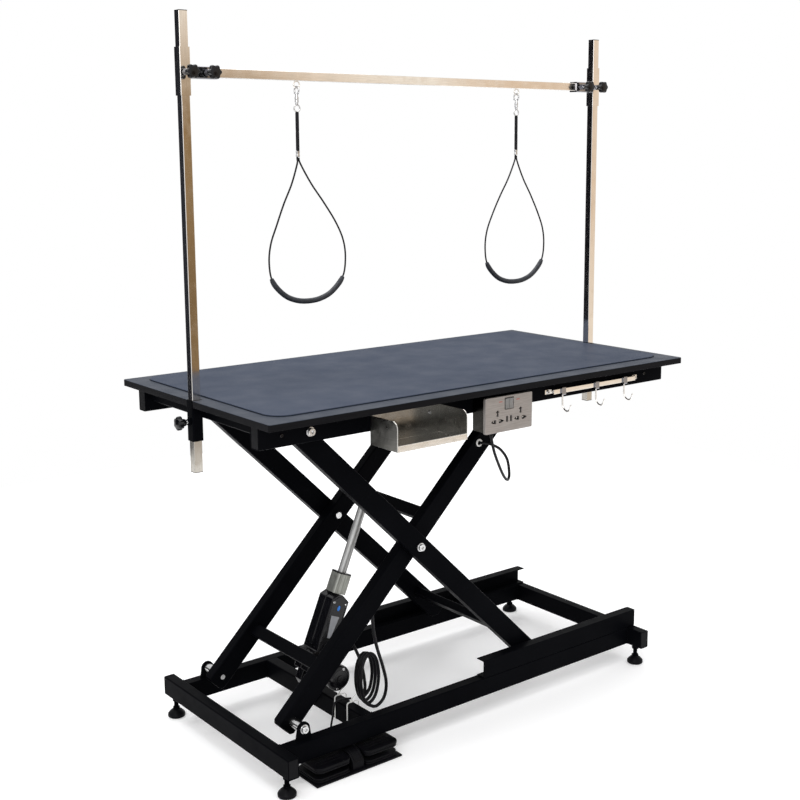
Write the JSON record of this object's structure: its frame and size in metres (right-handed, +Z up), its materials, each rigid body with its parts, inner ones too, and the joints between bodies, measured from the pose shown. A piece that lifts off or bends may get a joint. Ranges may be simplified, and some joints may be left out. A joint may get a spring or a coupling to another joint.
{
  "type": "grooming table",
  "caption": "Electric scissor-lift grooming table with a rubber-matted top, an overhead restraint bar with hanging loops, a tool tray, a socket box, hooks and a foot switch.",
  "frame": {"origin": "centre of the whole table's footprint, on the floor", "axes": "+X along the tabletop towards the hooks' end, +Y from the tray side to the far side, +Z up"},
  "size_m": [1.3176, 0.683, 1.66],
  "materials": {
    "black_frame": "satin black powder coat",
    "black_plastic": "moulded black",
    "black_board": "board with a black edge trim",
    "grey_mat": "speckled blue-grey rubber",
    "black_cord": "matt black sheath",
    "polished_steel": "polished stainless",
    "zinc_steel": "zinc plated",
    "foot_black": "black levelling foot",
    "stainless": "bright folded sheet",
    "satin_plate": "satin warm grey plate",
    "grey_aluminium": "satin",
    "grey_plastic": "grey nylon"
  },
  "bodies": {
    "base": {"base_frame": "black_frame", "floor_channel_front": "black_frame", "floor_channel_back": "black_frame", "low_pivot_bolt_front": "zinc_steel", "low_pivot_bolt_back": "zinc_steel", "foot_switch_base": "black_plastic", "lift_cable": "black_cord", "switch_cable": "black_cord"},
    "inner_arms": {"inner_arm_frame": "black_frame"},
    "outer_arms": {"outer_arm_frame": "black_frame", "centre_bolt_front": "zinc_steel", "centre_bolt_back": "zinc_steel"},
    "table": {"tabletop_board": "black_board", "rubber_mat": "grey_mat", "table_frame": "black_frame", "high_pivot_bolt_front": "zinc_steel", "high_pivot_bolt_back": "zinc_steel", "tool_tray": "stainless", "socket_box": "stainless", "socket_plate": "satin_plate", "hook_rail": "stainless", "outlet_cable": "black_cord"},
    "actuator": {"actuator_housing": "black_plastic", "actuator_motor": "black_frame", "actuator_tube": "grey_aluminium"},
    "actuator_rod": {"actuator_rod": "grey_aluminium"},
    "posts": {"post_left": "polished_steel", "post_right": "polished_steel"},
    "crossbar": {"crossbar": "polished_steel", "bar_clamp_left": "polished_steel", "bar_clamp_right": "polished_steel"},
    "snap_left": {"snap_left": "polished_steel"},
    "noose_left": {"noose_fittings_left": "black_cord", "noose_cable_left": "black_cord", "noose_pad_left": "black_cord"},
    "snap_right": {"snap_right": "polished_steel"},
    "noose_right": {"noose_fittings_right": "black_cord", "noose_cable_right": "black_cord", "noose_pad_right": "black_cord"},
    "foot_front_left": {"foot_front_left": "foot_black"},
    "foot_front_right": {"foot_front_right": "foot_black"},
    "foot_back_left": {"foot_back_left": "foot_black"},
    "foot_back_right": {"foot_back_right": "foot_black"},
    "pedal_left": {"pedal_left": "black_plastic"},
    "pedal_right": {"pedal_right": "black_plastic"},
    "rocker_left": {"rocker_left": "grey_plastic"},
    "rocker_right": {"rocker_right": "grey_plastic"},
    "hook_1": {"hook_1": "polished_steel"},
    "hook_2": {"hook_2": "polished_steel"},
    "hook_3": {"hook_3": "polished_steel"},
    "roller_lower_front": {"roller_lower_front": "grey_plastic"},
    "roller_lower_back": {"roller_lower_back": "grey_plastic"},
    "roller_upper_front": {"roller_upper_front": "grey_plastic"},
    "roller_upper_back": {"roller_upper_back": "grey_plastic"},
    "knob_sleeve_left": {"knob_sleeve_left": "black_plastic"},
    "knob_sleeve_right": {"knob_sleeve_right": "black_plastic"},
    "knob_collar_left": {"knob_collar_left": "black_plastic"},
    "knob_collar_right": {"knob_collar_right": "black_plastic"},
    "knob_bar_left": {"knob_bar_left": "black_plastic"},
    "knob_bar_right": {"knob_bar_right": "black_plastic"}
  },
  "joints": [
    {"name": "lift", "type": "hinge", "parent": "base", "child": "inner_arms", "pos_m": [-0.489, 0.0185, 0.1195], "axis": [0, -1, 0], "range_deg": [-24.5, 11], "deforming": ["lift_cable", "outlet_cable"]},
    {"name": "arm_cross_pivot", "type": "hinge", "parent": "inner_arms", "child": "outer_arms", "pos_m": [-0.1435, 0.0185, 0.45925], "axis": [0, -1, 0], "range_deg": [-22, 49]},
    {"name": "table_pivot", "type": "hinge", "parent": "outer_arms", "child": "table", "pos_m": [-0.489, 0.0185, 0.799], "axis": [0, -1, 0], "range_deg": [-24.5, 11]},
    {"name": "actuator_tilt", "type": "hinge", "parent": "base", "child": "actuator", "pos_m": [-0.3335, 0.0185, 0.1225], "axis": [0, -1, 0], "range_deg": [-29.3, 13.2]},
    {"name": "actuator_stroke", "type": "slide", "parent": "actuator", "child": "actuator_rod", "axis": [0.3906, 0, 0.9205], "range_m": [-0.0545, 0.0245]},
    {"name": "upper_roller_front_spin", "type": "hinge", "parent": "inner_arms", "child": "roller_upper_front", "pos_m": [0.202, -0.19875, 0.799], "axis": [0, 1, 0], "continuous": true},
    {"name": "lower_roller_front_spin", "type": "hinge", "parent": "outer_arms", "child": "roller_lower_front", "pos_m": [0.202, -0.19875, 0.1195], "axis": [0, 1, 0], "continuous": true},
    {"name": "upper_roller_back_spin", "type": "hinge", "parent": "inner_arms", "child": "roller_upper_back", "pos_m": [0.202, 0.23575, 0.799], "axis": [0, 1, 0], "continuous": true},
    {"name": "lower_roller_back_spin", "type": "hinge", "parent": "outer_arms", "child": "roller_lower_back", "pos_m": [0.202, 0.23575, 0.1195], "axis": [0, 1, 0], "continuous": true},
    {"name": "posts_height", "type": "slide", "parent": "table", "child": "posts", "axis": [0, 0, 1], "range_m": [-0.09, 0.05]},
    {"name": "crossbar_height", "type": "slide", "parent": "posts", "child": "crossbar", "axis": [0, 0, 1], "range_m": [-0.09, 0.07]},
    {"name": "sleeve_knob_left_turn", "type": "hinge", "parent": "table", "child": "knob_sleeve_left", "pos_m": [-0.6258, 0.0185, 0.794], "axis": [-1, 0, 0], "continuous": true},
    {"name": "collar_knob_left_turn", "type": "hinge", "parent": "crossbar", "child": "knob_collar_left", "pos_m": [-0.611, 0.0063, 1.535], "axis": [0, -1, 0], "continuous": true},
    {"name": "bar_knob_left_turn", "type": "hinge", "parent": "crossbar", "child": "knob_bar_left", "pos_m": [-0.56, 0.0054, 1.535], "axis": [0, -1, 0], "continuous": true},
    {"name": "snap_left_swing", "type": "hinge", "parent": "crossbar", "child": "snap_left", "pos_m": [-0.333, 0.0185, 1.5094], "axis": [1, 0, 0], "range_deg": [-75, 75]},
    {"name": "noose_left_swivel", "type": "hinge", "parent": "snap_left", "child": "noose_left", "pos_m": [-0.333, 0.0185, 1.478], "axis": [0, 0, 1], "continuous": true},
    {"name": "sleeve_knob_right_turn", "type": "hinge", "parent": "table", "child": "knob_sleeve_right", "pos_m": [0.6258, 0.0185, 0.794], "axis": [1, 0, 0], "continuous": true},
    {"name": "collar_knob_right_turn", "type": "hinge", "parent": "crossbar", "child": "knob_collar_right", "pos_m": [0.611, 0.0063, 1.535], "axis": [0, -1, 0], "continuous": true},
    {"name": "bar_knob_right_turn", "type": "hinge", "parent": "crossbar", "child": "knob_bar_right", "pos_m": [0.56, 0.0054, 1.535], "axis": [0, -1, 0], "continuous": true},
    {"name": "snap_right_swing", "type": "hinge", "parent": "crossbar", "child": "snap_right", "pos_m": [0.333, 0.0185, 1.5094], "axis": [1, 0, 0], "range_deg": [-75, 75]},
    {"name": "noose_right_swivel", "type": "hinge", "parent": "snap_right", "child": "noose_right", "pos_m": [0.333, 0.0185, 1.478], "axis": [0, 0, 1], "continuous": true},
    {"name": "hook_1_slide", "type": "slide", "parent": "table", "child": "hook_1", "axis": [1, 0, 0], "range_m": [-0.021, 0.05]},
    {"name": "hook_2_slide", "type": "slide", "parent": "table", "child": "hook_2", "axis": [1, 0, 0], "range_m": [-0.05, 0.045]},
    {"name": "hook_3_slide", "type": "slide", "parent": "table", "child": "hook_3", "axis": [1, 0, 0], "range_m": [-0.045, 0.031]},
    {"name": "rocker_left_tilt", "type": "hinge", "parent": "table", "child": "rocker_left", "pos_m": [0.0216, -0.29, 0.7985], "axis": [1, 0, 0], "range_deg": [-8, 8]},
    {"name": "rocker_right_tilt", "type": "hinge", "parent": "table", "child": "rocker_right", "pos_m": [0.0344, -0.29, 0.7985], "axis": [1, 0, 0], "range_deg": [-8, 8]},
    {"name": "pedal_left_press", "type": "hinge", "parent": "base", "child": "pedal_left", "pos_m": [-0.44, -0.1615, 0.03], "axis": [1, 0, 0], "range_deg": [0, 6], "stiffness_Nm_per_rad": 8, "springref_deg": -3.44},
    {"name": "pedal_right_press", "type": "hinge", "parent": "base", "child": "pedal_right", "pos_m": [-0.31, -0.1615, 0.03], "axis": [1, 0, 0], "range_deg": [0, 6], "stiffness_Nm_per_rad": 8, "springref_deg": -3.44},
    {"name": "foot_front_left_turn", "type": "hinge", "parent": "base", "child": "foot_front_left", "pos_m": [-0.558, -0.2315, 0], "axis": [0, 0, 1], "continuous": true},
    {"name": "foot_front_right_turn", "type": "hinge", "parent": "base", "child": "foot_front_right", "pos_m": [0.558, -0.2315, 0], "axis": [0, 0, 1], "continuous": true},
    {"name": "foot_back_left_turn", "type": "hinge", "parent": "base", "child": "foot_back_left", "pos_m": [-0.558, 0.2685, 0], "axis": [0, 0, 1], "continuous": true},
    {"name": "foot_back_right_turn", "type": "hinge", "parent": "base", "child": "foot_back_right", "pos_m": [0.558, 0.2685, 0], "axis": [0, 0, 1], "continuous": true}
  ],
  "couplings": [
    {"joint": "arm_cross_pivot", "follows": "lift", "ratio": -2},
    {"joint": "table_pivot", "follows": "lift", "ratio": 1},
    {"joint": "actuator_tilt", "follows": "lift", "ratio": 1.19},
    {"joint": "actuator_stroke", "follows": "lift", "m_per_rad": 0.127}
  ]
}
